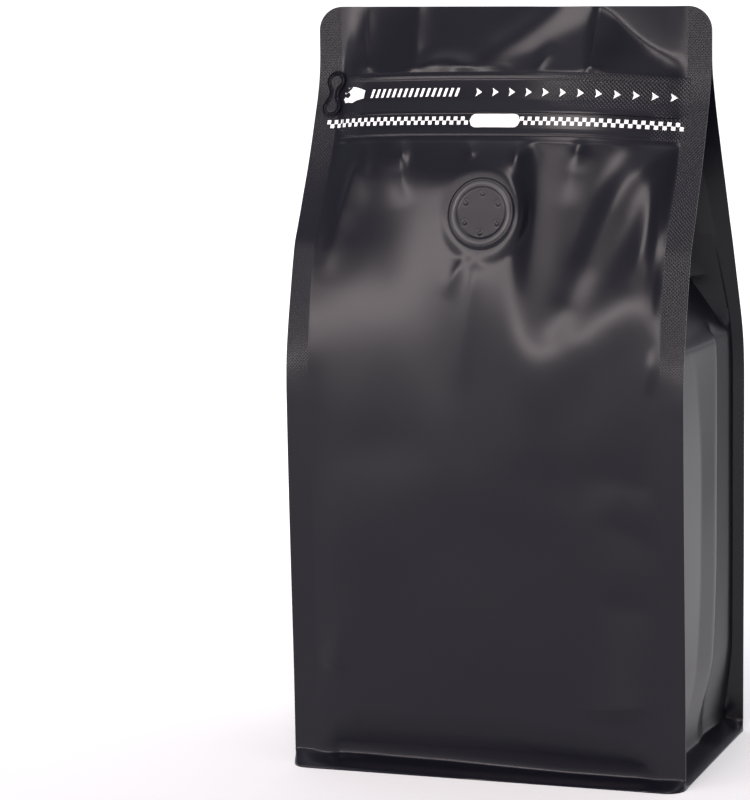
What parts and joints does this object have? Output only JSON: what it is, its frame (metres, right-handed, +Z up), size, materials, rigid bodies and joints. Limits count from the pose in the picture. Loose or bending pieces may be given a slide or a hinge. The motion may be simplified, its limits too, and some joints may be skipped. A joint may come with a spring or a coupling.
{
  "type": "flat bottom coffee bag",
  "caption": "Standing matte black flat bottom coffee bag with sealed edge fins, side gussets, round one-way valve, zipper band with pull tab and a sealed rim round its foot.",
  "frame": {"origin": "centre of the foot on the surface that the bag stands on", "axes": "+Z up along the bag's height, -Y out of the front with the valve and zipper band, +X to the right of the front"},
  "size_m": [0.135, 0.094, 0.252],
  "materials": {
    "film": "satin black laminate film, creased, with finely embossed heat seals",
    "band": "ribbed zipper strip under satin black film, with a white checker stripe and arrows",
    "tab": "satin black film with an embossed grain inside a pressed outline",
    "valve": "moulded black plastic under film, with a raised ring and pinholes"
  },
  "bodies": {
    "root": {"bag_body": "film", "zipper_band": "band", "pull_tab": "tab", "valve": "valve"}
  },
  "joints": []
}
